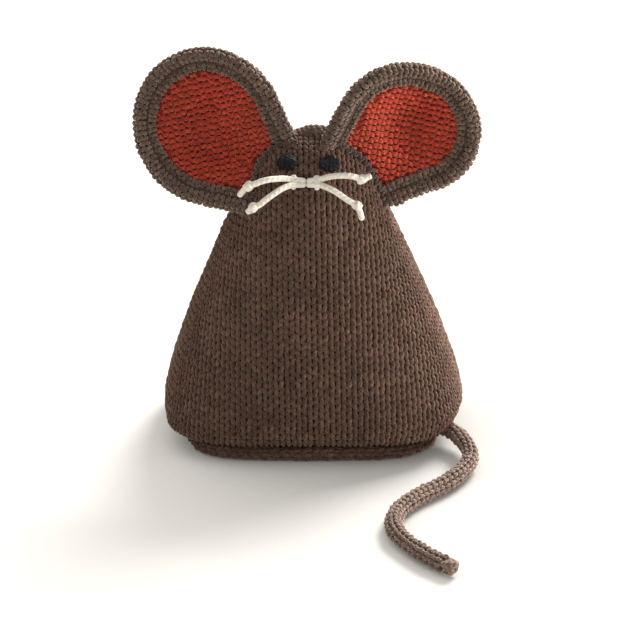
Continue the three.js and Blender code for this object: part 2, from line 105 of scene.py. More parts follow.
def addNode(tree, kind, settings=None, links=None):
    node = tree.nodes.new("ShaderNode" + kind)
    for key, value in (settings or {}).items():
        if isinstance(key, str) and hasattr(node, key):
            setattr(node, key, value)
        else:
            node.inputs[key].default_value = value
    for key, source in (links or {}).items():
        tree.links.new(source, node.inputs[key])
    return node


# What most of the wools share. The loose fibres are drawn coarser than they are, so that they show.
woolLook = {
    "streak": 1.6 * mm, "patch": 14 * mm, "patchTone": 0.08, "rootShade": 0.6, "plyStrength": 0.45,
    "plyRelief": 0.25 * mm, "fibre": 0.35 * mm, "fibreStrength": 0.55, "fibreRelief": 0.2 * mm,
    "roughness": 0.95, "gloss": 0.25, "sheen": 0.8, "sheenRoughness": 0.45,
}


# Worsted-spun wool, plied and heathered: dyed fibres of three shades are carded together, so each strand
# is streaked, its plies show as slanting ridges, and the fuzz of loose fibres gives it a soft pale edge.
def woolMaterial(name, look):
    look = woolLook | look
    material = bpy.data.materials.new(name)
    material.use_nodes = True
    tree = material.node_tree
    shader = tree.nodes["Principled BSDF"]
    place = {"Vector": addNode(tree, "TexCoord").outputs["Object"]}
    noise = {"Scale": 1 / look["streak"], "Detail": 4, "Roughness": 0.65}
    streak = addNode(tree, "TexNoise", noise, place)
    ramp = addNode(tree, "ValToRGB", None, {"Fac": streak.outputs["Fac"]})
    shades = ramp.color_ramp.elements
    shades.new(0.5)
    for shade, position, hexName in zip(shades, (0.3, 0.5, 0.7), ("dark", "main", "light")):
        shade.position = position
        shade.color = linear(look[hexName])
    # patches of the skein and single stitches each have their own tone; the yarn deep in the cloth is painted
    # in shade
    patch = addNode(tree, "TexNoise", {"Scale": 1 / look["patch"], "Detail": 1}, place)
    tone = addNode(tree, "Attribute", {"attribute_name": "tone"})
    root = addNode(tree, "Attribute", {"attribute_name": "root"})
    colour = ramp.outputs["Color"]
    for source, span, tones in (
        (patch, (0.35, 0.65), (1 - look["patchTone"], 1 + look["patchTone"])),
        (tone, (0, 1), (1 - look["stitchTone"], 1 + look["stitchTone"])),
        (root, (0, 0.75), (look["rootShade"], 1)),
    ):
        limits = dict(zip(("From Min", "From Max", "To Min", "To Max"), span + tones))
        level = addNode(tree, "MapRange", limits, {"Value": source.outputs["Fac"]})
        links = {0: colour, "Scale": level.outputs[0]}
        colour = addNode(tree, "VectorMath", {"operation": "SCALE"}, links).outputs[0]
    phase = addNode(tree, "Attribute", {"attribute_name": "plyPhase"})
    ply = addNode(tree, "Math", {"operation": "SINE"}, {0: phase.outputs["Fac"]})
    relief = {"Strength": look["plyStrength"], "Distance": look["plyRelief"]}
    plies = addNode(tree, "Bump", relief, {"Height": ply.outputs[0]})
    noise = {"Scale": 1 / look["fibre"], "Detail": 2, "Roughness": 0.7}
    fibre = addNode(tree, "TexNoise", noise, place)
    relief = {"Strength": look["fibreStrength"], "Distance": look["fibreRelief"]}
    links = {"Height": fibre.outputs["Fac"], "Normal": plies.outputs[0]}
    fibres = addNode(tree, "Bump", relief, links)
    tree.links.new(colour, shader.inputs["Base Color"])
    tree.links.new(fibres.outputs[0], shader.inputs["Normal"])
    shader.inputs["Roughness"].default_value = look["roughness"]
    shader.inputs["Specular IOR Level"].default_value = look["gloss"]
    shader.inputs["Sheen Weight"].default_value = look["sheen"]
    shader.inputs["Sheen Roughness"].default_value = look["sheenRoughness"]
    shader.inputs["Sheen Tint"].default_value = linear(look["sheenTint"])
    return material


brownHeather = woolMaterial(
    "brownHeatherWool",
    {
        "dark": "412f26", "main": "584136", "light": "715749", "patch": 16 * mm, "patchTone": 0.1,
        "stitchTone": 0.16, "rootShade": 0.55, "sheen": 0.6, "sheenTint": "c6a48d",
    },
)
# The body's brown painted a little lighter, for the light on the ears' rims; the crown, the ears' backs and
# their sewing share it.
brownHeatherPaintedLight = woolMaterial(
    "brownWoolPaintedLight",
    {
        "dark": "44332a", "main": "5e4a3f", "light": "7c6659", "stitchTone": 0.18, "rootShade": 0.5,
        "plyStrength": 0.5, "sheenTint": "d6bfae",
    },
)
# The body's brown painted paler, for the strong light that falls on the tail; its knitting is the tightest.
tailHeatherPaintedLight = woolMaterial(
    "tailWoolPaintedLight",
    {"dark": "5a463d", "main": "766054", "light": "947f72", "stitchTone": 0.12, "sheenTint": "dcc6b8"},
)
# Coral red wool, softer spun than the brown, so its plies hardly show.
coralWool = woolMaterial(
    "coralWool",
    {
        "dark": "8c271a", "main": "a62f1f", "light": "c24a33", "streak": 2 * mm, "patch": 15 * mm,
        "patchTone": 0.07, "stitchTone": 0.1, "rootShade": 0.75, "plyStrength": 0.35, "roughness": 0.9,
        "sheen": 0.9, "sheenTint": "f0a584",
    },
)
# Black wool takes a faint blue light along its fibres.
blackWool = woolMaterial(
    "blackWool",
    {
        "dark": "0b0a0c", "main": "100f12", "light": "1a191e", "streak": 1.2 * mm, "patch": 9 * mm,
        "patchTone": 0.1, "stitchTone": 0.15, "plyStrength": 0.8, "roughness": 0.75, "sheen": 0.05,
        "sheenTint": "565c70",
    },
)
# Undyed ivory wool, tightly plied, so the strands look round and even.
ivoryWool = woolMaterial(
    "ivoryWool",
    {
        "dark": "d8cebc", "main": "e6decf", "light": "f1ebdf", "streak": 2 * mm, "patch": 12 * mm,
        "patchTone": 0.03, "stitchTone": 0.04, "rootShade": 0.85, "roughness": 0.9, "sheen": 0.15,
        "sheenTint": "fff6e6",
    },
)


# Yarn and stitches.


def shares(count):
    # even steps from 0 to 1
    return [i / (count - 1) for i in range(count)]


def lengthsAlong(path):
    return np.concatenate([[0], np.cumsum(np.linalg.norm(np.diff(path, axis=0), axis=1))])


def throughPoints(points, spacing):
    # a smooth line through the points, with an even spacing
    knots = [points[0] * 2 - points[1], *points, points[-1] * 2 - points[-2]]
    line = []
    for a, b, c, d in zip(knots, knots[1:], knots[2:], knots[3:]):
        for t in shares(13)[:-1]:
            place = 2 * b + (c - a) * t
            place += (2 * a - 5 * b + 4 * c - d) * t**2
            place += (3 * b - a - 3 * c + d) * t**3
            line.append(0.5 * place)
    line.append(points[-1])
    dense = np.array(line)
    lengths = lengthsAlong(dense)
    even = np.linspace(0, lengths[-1], max(3, round(lengths[-1] / spacing) + 1))
    return [Vector([np.interp(s, lengths, dense[:, k]) for k in range(3)]) for s in even]


def frameAt(point, x, y, z):
    return Matrix.Translation(point) @ Matrix((x, y, z)).transposed().to_4x4()


def framesAlong(points, up=None):
    # a frame at each point: Z runs along the line, and Y looks up, or else X and Y turn as little as they can
    frames = []
    side = None
    for i, point in enumerate(points):
        along = (points[min(i + 1, len(points) - 1)] - points[max(i - 1, 0)]).normalized()
        if up is None:
            side = along.orthogonal().normalized() if side is None else side
            side = (side - along * side.dot(along)).normalized()
            top = along.cross(side)
        else:
            top = (up - along * up.dot(along)).normalized()
            side = top.cross(along)
        frames.append(frameAt(point, side, top, along))
    return frames


def railAlong(points, spacing, up=None):
    # tables of a smooth line: where it runs and which way its side and its upper face look
    points = throughPoints(points, spacing)
    frames = framesAlong(points, up)
    path = np.array(points)
    run = lengthsAlong(path)
    side, top = (np.array([f.col[k].xyz for f in frames]) for k in (0, 1))
    return {"points": points, "frames": frames, "path": path, "side": side, "top": top, "run": run}


def onRail(rail, run, angle, out, radii):
    # a place round the line: at angle 0 it is beside it, and a quarter turn on it is above it
    at = lambda table: np.stack([np.interp(run, rail["run"], table[:, k]) for k in range(3)], -1)
    side = at(rail["side"]) * (np.cos(angle) * (radii[0] + out))[..., None]
    top = at(rail["top"]) * (np.sin(angle) * (radii[1] + out))[..., None]
    return at(rail["path"]) + side + top


def addYarn(bm, points, size, sides, plies=3, lay=4.2 * mm, frames=None):
    # a strand of yarn: a ring is extruded from point to point, and size is its radius or its two radii, or
    # a list with one or the other for each point
    phase = bm.verts.layers.float.get("plyPhase") or bm.verts.layers.float.new("plyPhase")
    sizes = size if isinstance(size, list) else [size] * len(points)
    frames = frames or framesAlong(points)
    shapes = [f @ Matrix.Diagonal((*np.broadcast_to(s, 2), 1, 1)) for f, s in zip(frames, sizes)]
    ring = bmesh.ops.create_circle(bm, cap_ends=True, segments=sides, radius=1, matrix=shapes[0])["verts"]
    made = list(ring)
    edges = list({e for v in ring for e in v.link_edges})
    run = 0
    for i, shape in enumerate(shapes):
        if i:
            run += (points[i] - points[i - 1]).length
            grown = bmesh.ops.extrude_edge_only(bm, edges=edges)["geom"]
            ring = [g for g in grown if isinstance(g, bmesh.types.BMVert)]
            edges = [g for g in grown if isinstance(g, bmesh.types.BMEdge)]
            bmesh.ops.transform(bm, matrix=shape @ shapes[i - 1].inverted(), verts=ring)
            made += ring
        back = shape.inverted()
        for v in ring:
            local = back @ v.co
            v[phase] = plies * math.atan2(local.y, local.x) + 2 * math.pi * plies * run / lay
    bmesh.ops.edgeloop_fill(bm, edges=edges)
    bmesh.ops.recalc_face_normals(bm, faces=list({f for v in made for f in v.link_faces}))
    return made


def stitchMesh(name, shape):
    # one knit stitch, a V of two legs: x across its column, y up the column from its foot, z out of the
    # cloth. The legs meet their neighbours at foot and head, and part between them into dark gaps.
    bm = bmesh.new()
    for side in (-1, 1):
        points = []
        sizes = []
        for t in shares(5):
            swell = math.sin(math.pi * (0.1 + 0.8 * t))
            across = side * (shape["foot"] + (shape["head"] - shape["foot"]) * t)
            up = -shape["overrun"] + (1 + 2 * shape["overrun"]) * t
            out = shape["lift"] * (swell - 1)
            points.append(Vector((across * shape["width"], up * shape["height"], out)))
            thick = shape["thick"] * (0.4 + 0.6 * swell)
            sizes.append((thick, thick * shape["flat"]))
        addYarn(bm, points, sizes, 6, frames=framesAlong(points, upward))
    return storeMesh(name, bm)


def purlMesh(name, shape):
    # one purl stitch seen from its rough side: the head of one loop and, half a stitch along and half a
    # row down, the foot of the next
    bm = bmesh.new()
    for turned, along in ((1, 0), (-1, shape["width"] / 2)):
        points = []
        sizes = []
        for t in shares(6):
            arch = math.sin(math.pi * t)
            x = along - shape["reach"] * math.cos(math.pi * t)
            y = turned * (shape["height"] / 4 + shape["rise"] * (arch - 0.6))
            points.append(Vector((x, y, shape["lift"] * (arch - 1))))
            sizes.append(shape["thick"] * (0.5 + 0.5 * arch))
        addYarn(bm, points, sizes, 6)
    return storeMesh(name, bm)


def storeMesh(name, bm):
    mesh = bpy.data.meshes.new(name)
    bm.to_mesh(mesh)
    bm.free()
    return mesh


def addAttribute(mesh, name, values):
    layer = mesh.attributes.new(name, "FLOAT", "POINT")
    layer.data.foreach_set("value", np.asarray(values, np.float32))


def behind(name, bm):
    # painted shade: the cloth seen in the gaps between stitches, the cores and the ears' sewing take the
    # wool's darkest root shade
    mesh = storeMesh(name, bm)
    addAttribute(mesh, "root", np.zeros(len(mesh.vertices)))
    return mesh


def knitCloth(name, stitch, counts, gauge, place, keep=None, jitter=0.04):
    # the stitch is repeated along a row and the row up the cloth, then each stitch is laid on its surface:
    # place(x, y, z) says where the cloth goes, and keep(column, row) which stitches there are
    columns, rows = counts
    width, height = gauge
    bm = bmesh.new()
    bm.from_mesh(stitch)
    count = len(bm.verts)
    still = {"cent": (0, 0, 0), "axis": (0, 0, 1), "angle": 0, "use_duplicate": True}
    for number, step in ((columns, (width, 0, 0)), (rows, (0, height, 0))):
        if number > 1:
            whole = bm.verts[:] + bm.edges[:] + bm.faces[:]
            bmesh.ops.spin(bm, geom=whole, dvec=step, steps=number - 1, **still)
    column, row = (table.ravel() for table in np.meshgrid(np.arange(columns), np.arange(rows)))
    column = column - (columns - 1) / 2
    kept = keep(column, row) if keep else np.ones(len(row), bool)
    gone = [v for v, out in zip(bm.verts, np.repeat(~kept, count)) if out]
    bmesh.ops.delete(bm, geom=gone, context="VERTS")
    mesh = storeMesh(name, bm)
    points = np.zeros(len(mesh.vertices) * 3, np.float32)
    mesh.vertices.foreach_get("co", points)
    cloth = points.astype(float).reshape(-1, count, 3)
    cloth[..., 0] -= (columns - 1) / 2 * width
    number = len(cloth)
    cells = np.stack([column[kept] * width, row[kept] * height], 1)[:, None]
    local = cloth[..., :2] - cells
    # root: 0 where the yarn lies deepest in the cloth, 1 where it stands out; the wool paints shade on the
    # deep yarn by it
    root = (cloth[..., 2] - cloth[..., 2].min()) / np.ptp(cloth[..., 2])
    # hand knitting is uneven: each stitch is a little larger or smaller, turned and moved
    size = 1 + jitter * dice.normal(size=(number, 1))
    tilt = 0.5 * jitter * dice.normal(size=(number, 1))
    moved = 0.5 * jitter * width * dice.normal(size=(number, 1, 2))
    x = local[..., 0] * size - local[..., 1] * tilt
    y = local[..., 1] + local[..., 0] * tilt
    cloth[..., :2] = cells + np.stack([x, y], -1) + moved
    cloth[..., 2] += 3 * jitter * mm * dice.normal(size=(number, 1))
    mesh.vertices.foreach_set("co", place(*cloth.reshape(-1, 3).T).astype(np.float32).ravel())
    mesh.update()
    addAttribute(mesh, "tone", np.repeat(dice.random(number), count))
    addAttribute(mesh, "root", root.ravel())
    return mesh


def finishPiece(name, mesh, material, slot, replaced=(), body="body", bend=None):
    for attribute, value in (("tone", 0.5), ("root", 1)):
        if attribute not in mesh.attributes:
            addAttribute(mesh, attribute, np.full(len(mesh.vertices), value))
    mesh.materials.append(material)
    mesh.polygons.foreach_set("use_smooth", [True] * len(mesh.polygons))
    piece = bpy.data.objects.new(name, mesh)
    scene.collection.objects.link(piece)
    if bend:
        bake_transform(piece)
    else:
        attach(piece, body)
    if replaced:
        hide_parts(*replaced)
    return piece


# The tail: a cord knitted round on a few stitches, lying on the table.

tailShape = {
    "diameter": 8.3 * mm,
    "sunk": 0.95 * mm,  # the legs' middles below the cord's outer surface
    "core": 2.3 * mm,  # radius of the cloth behind the stitches
    "columns": 4,
    "ladder": 0.75,  # how wide the ladder of loose yarn is, in columns
    # a rung of the ladder: how far it reaches and slants, in stitches, and how deep its middle and ends lie
    "rung": {"reach": 0.6, "slant": 0.3, "sunk": 0.5, "arch": 0.7, "yarn": 0.85 * mm},
    "rowHeight": 3.5 * mm,
    "step": 1.5 * mm,  # how finely its line is followed
    "start": 0.2 * mm,  # the first row is drawn in to here
    "turn": -0.4,
    "twist": 1.2,
    "stitch": {"foot": 0.13, "head": 0.38, "overrun": 0.2, "thick": 1.25 * mm, "flat": 0.9, "lift": 1.5 * mm},
    # the last loops: the side where each one lies, then millimetres ahead, out, wide and long
    "loops": [
        {"turn": 100, "ahead": 2.1, "out": 1.8, "sweep": 250, "wide": 2.5, "long": 2.7},
        {"turn": 220, "ahead": 1.6, "out": 1.7, "sweep": 230, "wide": 2.3, "long": 2.3},
        {"turn": -20, "ahead": 2.5, "out": 1.9, "sweep": 260, "wide": 2.1, "long": 2.1},
    ],
    "loopYarn": 1.5 * mm,
    "loopLay": 5 * mm,
    "loopDip": 2.2,  # how far a loop's ends go back into the cord
    "endRadius": 2.9 * mm,
    "endAhead": 2 * mm,
    "route": [
        [59, -24.8, 8.3], [62, -27.9, 8.2], [65.2, -32.8, 7.9], [67.9, -39.6, 7.3], [69.9, -47.6, 6.4],
        [69.9, -56.5, 5.4], [64.6, -68, 4.6], [57.5, -78, 4.2], [48.6, -87.5, 4.15], [41.2, -97, 4.15],
        [36, -107.5, 4.15], [34.2, -118, 4.15], [36, -129, 4.15], [41, -139.6, 4.15], [47.6, -149, 4.15],
        [51.6, -153.6, 4.15], [55.4, -157.6, 4.15],
    ],
}


def onRoute(route):
    return [Vector((baseX + x * mm, y * mm, z * mm)) for x, y, z in route]


def makeTail(shape):
    rail = railAlong(onRoute(shape["route"]), shape["step"])
    points = rail["points"]
    length = rail["run"][-1]
    radius = shape["diameter"] / 2
    rows = round(length / shape["rowHeight"])
    height = length / rows
    width = 2 * math.pi / (shape["columns"] + shape["ladder"]) * radius

    def place(x, y, z):
        y = np.clip(y, shape["start"], length)
        angle = x / radius + shape["turn"] + shape["twist"] * y / length
        placed = onRail(rail, y, angle, z - shape["sunk"], (radius, radius))
        placed[:, 2] = np.maximum(placed[:, 2], tableGap)
        return placed

    stitch = stitchMesh("tailStitch", shape["stitch"] | {"width": width, "height": height})
    bm = bmesh.new()
    bm.from_mesh(knitCloth("tailKnit", stitch, (shape["columns"], rows), (width, height), place))
    # the yarn that crosses behind from the last stitch of a row to the first one shows as a ladder
    rungBm = bmesh.new()
    rung = shape["rung"]
    line = []
    for t in (-1, -0.5, 0, 0.5, 1):
        deep = (-rung["sunk"] - rung["arch"] * t * t) * mm
        line.append(Vector((rung["reach"] * width * t, rung["slant"] * height * t, deep)))
    addYarn(rungBm, line, rung["yarn"], 6)
    across = (shape["columns"] + shape["ladder"]) / 2 * width
    ladder = lambda x, y, z: place(x + across, y, z)
    bm.from_mesh(knitCloth("ladder", storeMesh("rung", rungBm), (1, rows), (width, height), ladder))
    addYarn(bm, points, shape["core"], 12, frames=rail["frames"])
    tail = finishPiece("tail_knit", storeMesh("tail", bm), tailHeatherPaintedLight, "tail_yarn", ["tail"])
    # the last stitches are drawn up into three large loops
    endBm = bmesh.new()
    tip = points[-1]
    along = (tip - points[-2]).normalized()
    across = along.cross(upward).normalized()
    up = across.cross(along)
    for loop in shape["loops"]:
        turned = math.radians(loop["turn"])
        out = across * math.cos(turned) + up * math.sin(turned)
        side = along.cross(out)
        middle = tip + along * loop["ahead"] * mm + out * loop["out"] * mm
        line = []
        for t in shares(11):
            angle = math.radians(loop["sweep"]) * (t - 0.5)
            arc = side * math.sin(angle) * loop["wide"] + along * math.cos(angle) * loop["long"]
            line.append(middle + arc * mm - out * abs(t - 0.5) * shape["loopDip"] * mm)
        addYarn(endBm, line, shape["loopYarn"], 8, lay=shape["loopLay"])
    ball = Matrix.Translation(tip + along * shape["endAhead"])
    bmesh.ops.create_uvsphere(endBm, u_segments=12, v_segments=8, radius=shape["endRadius"], matrix=ball)
    for v in endBm.verts:
        v.co.z = max(v.co.z, tableGap)
    boundOff = storeMesh("tailEnd", endBm)
    end = finishPiece("tail_bound_off", boundOff, tailHeatherPaintedLight, "tail_yarn", ["tail_end_knot"])


makeTail(tailShape)
print("tail knitted")


# The whiskers: two ivory yarns that pass through the nose, each end knotted.

whiskerShape = {
    "diameter": 2.75 * mm,
    "lay": 4.6 * mm,
    "step": 0.7 * mm,
    "endShares": (0.5, 0.8),  # how thick a strand is where it dips into the nose, and at its cut end
    "knot": 11,  # which point of a route its knot sits on
    "knotReach": 1.25 * mm,
    "knotDeep": 1.1 * mm,
    "knotYarn": 1.2 * mm,
    "knotLay": 4 * mm,
    "routes": {
        "upper_left": [
            [-3.8, -21.8, 126.8], [-6.5, -22, 127.2], [-8.9, -22.4, 127.6], [-10.6, -23, 128.1],
            [-14, -24.8, 129.1], [-16.8, -26.2, 129.4], [-19.8, -27.2, 129.5], [-22.1, -27.6, 129.1],
            [-24.2, -27.8, 128.5], [-26, -27.8, 127.7], [-27.8, -27.6, 127.1], [-29.4, -27.2, 126.3],
            [-30.9, -26.8, 124.9], [-32.3, -26.2, 123], [-33.5, -25.6, 121.3],
        ],
        "lower_left": [
            [-3.8, -22.2, 125.4], [-6.5, -22.8, 125.5], [-8.9, -24, 125.8], [-10.6, -25.1, 126],
            [-12.8, -26.6, 125.7], [-14.9, -28, 125.1], [-17.3, -29, 123.8], [-19.7, -29.8, 122.3],
            [-22, -30.2, 120.6], [-24, -30.4, 118.9], [-25.6, -30.4, 118], [-27.2, -30.4, 117.3],
            [-28.1, -30.2, 116.4], [-29, -30, 115.7], [-29.9, -29.8, 114.8],
        ],
        "upper_right": [
            [-3.5, -21.8, 126.7], [-1.6, -22, 127], [1, -22.4, 127.5], [3.4, -23.2, 128.4],
            [6, -24.6, 129.7], [8.7, -26, 130.6], [11.1, -27, 131.2], [13.5, -27.6, 131.4],
            [15.9, -27.8, 131.3], [18.3, -27.6, 130.7], [19.8, -27.2, 129.9], [21, -26.8, 129.4],
            [22.4, -26.6, 129.7], [23.9, -26.4, 130.4], [25.4, -26.2, 131],
        ],
        "lower_right": [
            [-3.5, -22.2, 125.3], [-1.6, -22.8, 125.5], [1, -24, 125.8], [3.4, -25.1, 125.9],
            [5.6, -26.6, 125.5], [7.7, -28, 125], [10.2, -28.8, 123.7], [12.6, -29.4, 122.2],
            [14.5, -29.8, 120.9], [16.4, -30, 119.8], [17.8, -30, 119], [19.1, -30, 118],
            [20.1, -29.8, 116], [20.7, -29.6, 113.7], [21.3, -29.4, 111.4],
        ],
    },
}


def knotLine(centre, along, reach, deep):
    # the line of a simple overhand knot round an axis
    turn = upward.rotation_difference(along).to_matrix()
    line = []
    for share in shares(31):
        t = 2 * math.pi * share
        flat = Vector((math.sin(t) + 2 * math.sin(2 * t), math.cos(t) - 2 * math.cos(2 * t), 0)) * reach / 3
        line.append(centre + turn @ Vector((flat.x, flat.y, -deep * math.sin(3 * t))))
    return line


def makeWhisker(name, route, shape):
    points = onRoute(route)
    path = throughPoints(points, shape["step"])
    radius = shape["diameter"] / 2
    first, last = (radius * share for share in shape["endShares"])
    bm = bmesh.new()
    addYarn(bm, path, [first, *[radius] * (len(path) - 2), last], 10, plies=2, lay=shape["lay"])
    name = "whisker_" + name
    strand = finishPiece(name + "_yarn", storeMesh("whisker", bm), ivoryWool, "ivory_yarn", [name])
    before, middle, after = points[shape["knot"] - 1 : shape["knot"] + 2]
    line = knotLine(middle, (after - before).normalized(), shape["knotReach"], shape["knotDeep"])
    knotBm = bmesh.new()
    addYarn(knotBm, line, shape["knotYarn"], 8, plies=2, lay=shape["knotLay"])
    knot = finishPiece(name + "_knot", storeMesh("whiskerKnot", knotBm), ivoryWool, "ivory_yarn")


for whiskerName, whiskerRoute in whiskerShape["routes"].items():
    makeWhisker(whiskerName, whiskerRoute, whiskerShape)
print("whiskers threaded")


# The body's surface.

bodyShape = {
    "height": 143.4 * mm,
    "seat": 5.9 * mm,
    "halfWidth": 69 * mm,
    "halfDepth": 51 * mm,
    "lean": -2.6 * mm,
    "squareAtBase": 2.95,
    "squareAtCrown": 2.05,
    "squareFall": 0.55,
    "cornerSquare": 1.25,  # the stuffing fills the four lower corners
    "cornerFade": 0.08,
    "tailPull": 4.2 * mm,  # the tail's stitches draw the right side in
    "pullTop": 18 * mm,
    "pullReach": 9 * mm,
    # height, half-width and half-depth as shares, from the seam with the base to the crown
    "outline": [
        [0, 0.9, 0.83], [0.008, 0.945, 0.865], [0.0155, 0.97, 0.9], [0.0225, 0.985, 0.935],
        [0.03, 0.993, 0.96], [0.045, 0.999, 0.983], [0.085, 1, 1], [0.183, 0.955, 0.968],
        [0.312, 0.869, 0.886], [0.414, 0.793, 0.808], [0.519, 0.704, 0.722], [0.635, 0.607, 0.622],
        [0.73, 0.525, 0.534], [0.821, 0.454, 0.456], [0.905, 0.382, 0.372], [0.957, 0.29, 0.278],
        [0.985, 0.185, 0.175], [1, 0.02, 0.02],
    ],
    "outlineStep": 0.004,
    "roundSteps": (500, 240),  # how finely a quarter of a row is measured, and stored
}


def bodyTables(shape):
    # tables up the body: its size, how far the cloth has run, and the angles at even steps round a quarter
    outline = throughPoints([Vector(row) for row in shape["outline"]], shape["outlineStep"])
    share, wide, deep = np.array(outline).T
    share = np.maximum.accumulate(share + np.arange(len(share)) * 1e-7)
    wide = wide * shape["halfWidth"]
    deep = deep * shape["halfDepth"]
    z = shape["seat"] + share * (shape["height"] - shape["seat"])
    fall = np.clip(share, 0, 1) ** shape["squareFall"]
    square = shape["squareAtBase"] + (shape["squareAtCrown"] - shape["squareAtBase"]) * fall
    square += shape["cornerSquare"] * np.exp(-share / shape["cornerFade"])
    measured, stored = shape["roundSteps"]
    angle = np.linspace(0, math.pi / 2, measured)
    power = (2 / square)[:, None]
    x = wide[:, None] * np.sin(angle) ** power
    y = deep[:, None] * np.cos(angle).clip(0) ** power
    arcs = [lengthsAlong(row) for row in np.stack([x, y], -1)]
    return {
        "share": share, "wide": wide, "deep": deep, "z": z, "square": square,
        "run": lengthsAlong(np.stack([(wide + deep) / 2, z], 1)),
        "quarter": np.array([arc[-1] for arc in arcs]),
        "angles": np.stack([np.interp(np.linspace(0, 1, stored), arc / arc[-1], angle) for arc in arcs]),
    }


body = bodyTables(bodyShape)


def middleAt(z):
    # the body leans a little to the left
    return baseX + bodyShape["lean"] * z / bodyShape["height"]


def bodyPoint(u, run, back):
    # u runs along a row of knitting from the middle of the front or back, run goes up the cloth
    last = body["angles"].shape[1] - 1
    at = np.interp(run, body["run"], np.arange(len(body["run"])))
    low = np.clip(at.astype(int), 0, len(body["run"]) - 2)
    part = at - low
    between = lambda table: table[low] * (1 - part) + table[low + 1] * part
    turn = np.abs(u) / between(body["quarter"])
    past = turn > 1
    column = np.clip(np.where(past, 2 - turn, turn), 0, 1) * last
    left = np.clip(column.astype(int), 0, last - 1)
    share = column - left
    pick = lambda row: body["angles"][row, left] * (1 - share) + body["angles"][row, left + 1] * share
    angle = pick(low) * (1 - part) + pick(low + 1) * part
    power = 2 / between(body["square"])
    x = np.sign(u) * between(body["wide"]) * np.sin(angle) ** power
    y = -between(body["deep"]) * np.cos(angle).clip(0) ** power * np.where(past, -1, 1)
    z = between(body["z"])
    flip = -1 if back else 1
    pulled = np.clip((bodyShape["pullTop"] - z) / bodyShape["pullReach"], 0, 1)
    drawnIn = bodyShape["tailPull"] * pulled * np.clip(flip * x / between(body["wide"]), 0, 1) ** 2
    return np.stack([middleAt(z) + flip * x - drawnIn, flip * y, z], -1)


def onBody(u, run, out, back=False):
    run = np.clip(run, probe, body["run"][-1] - probe)
    across = bodyPoint(u + probe, run, back) - bodyPoint(u - probe, run, back)
    up = bodyPoint(u, run + probe, back) - bodyPoint(u, run - probe, back)
    normal = np.cross(across, up)
    normal /= np.linalg.norm(normal, axis=-1, keepdims=True).clip(1e-12)
    return bodyPoint(u, run, back) + normal * np.asarray(out)[..., None]


def placeOnBody(share, angle):
    # a frame on the body at a share of its height and an angle from the front: X across, Y up, Z out
    run = np.interp(share, body["share"], body["run"])
    row = int(np.argmin(np.abs(body["share"] - share)))
    turn = np.interp(abs(angle), body["angles"][row], shares(body["angles"].shape[1]))
    u = math.copysign(turn * body["quarter"][row], angle)
    at = lambda up, out: Vector(onBody(np.array([u]), np.array([up]), out)[0])
    middle = at(run, 0)
    up = (at(run + mm, 0) - at(run - mm, 0)).normalized()
    out = (at(run, mm) - middle).normalized()
    return frameAt(middle, up.cross(out), up, out)


def insideBody(points, margin):
    x, y, z = points.T
    at = lambda name: np.interp(z, body["z"], body[name])
    across = np.abs(x - middleAt(z)) / (at("wide") + margin).clip(1e-9)
    along = np.abs(y) / (at("deep") + margin).clip(1e-9)
    return (across ** at("square") + along ** at("square") < 1) & (z < bodyShape["height"] + margin)


def moveTo(verts, points):
    for v, point in zip(verts, points):
        v.co = point


def thickened(name, bm, thickness):
    bmesh.ops.solidify(bm, geom=bm.faces[:], thickness=thickness)
    bmesh.ops.recalc_face_normals(bm, faces=bm.faces)
    return behind(name, bm)


# The body: stockinette, worked as a front and a back that meet in a column of decreases at each side.

coverShape = {
    "width": 5.08 * mm,  # five stitches to the inch
    "height": 3.55 * mm,
    "foot": 0.12,
    "head": 0.385,
    "overrun": 0.2,
    "thick": 1.22 * mm,
    "flat": 0.85,
    "lift": 1.5 * mm,
    "sunk": 0.9 * mm,  # the legs' middles below the toy's outer surface
    "seamSunk": 0.63 * mm,
    "sideGap": 0.3,  # between a row's last stitch and the side, in stitches
    "skin": -2.3 * mm,  # the cloth behind the stitches
    "skinGrid": (60, 70),
    "weld": 0.05 * mm,  # points of the cloth that are this near one another become one
    "fill": 0.8,
}


def makeCover(shape):
    gauge = width, height = shape["width"], shape["height"]
    stitch = stitchMesh("bodyStitch", shape)
    rows = int(body["run"][-1] / height)
    columns = 2 * int(body["quarter"].max() / width) + 3
    quarterAt = lambda run: np.interp(run, body["run"], body["quarter"])
    keep = lambda column, row: (np.abs(column) + shape["sideGap"]) * width <= quarterAt((row + 0.5) * height)
    bm = bmesh.new()
    for back in (False, True):
        place = lambda x, y, z: onBody(x, y, z - shape["sunk"], back)
        bm.from_mesh(knitCloth("panel", stitch, (columns, rows), gauge, place, keep))
    for side in (-1, 1):
        place = lambda x, y, z: onBody(x + side * quarterAt(y), y, z - shape["seamSunk"])
        bm.from_mesh(knitCloth("seam", stitch, (1, rows - 2), gauge, place))
    replaced = ["body_cover", "body_stuffing"]
    cover = finishPiece("body_stockinette", storeMesh("cover", bm), brownHeather, "brown_yarn", replaced)
    skinBm = bmesh.new()
    columns, rows = shape["skinGrid"]
    for back in (False, True):
        grid = bmesh.ops.create_grid(skinBm, x_segments=columns, y_segments=rows, size=1)["verts"]
        across, up, _ = np.array([v.co for v in grid]).T
        run = (up + 1) / 2 * body["run"][-1]
        moveTo(grid, onBody(across * quarterAt(run), run, shape["skin"], back))
    bmesh.ops.remove_doubles(skinBm, verts=skinBm.verts, dist=shape["weld"])
    bmesh.ops.holes_fill(skinBm, edges=skinBm.edges, sides=300)
    bmesh.ops.recalc_face_normals(skinBm, faces=skinBm.faces)
    finishPiece("body_cloth_behind", behind("skin", skinBm), brownHeather, "brown_yarn")


makeCover(coverShape)
print("body knitted")


# The base: a flat knitted panel, and the ridge where the body's stitches are picked up round it.

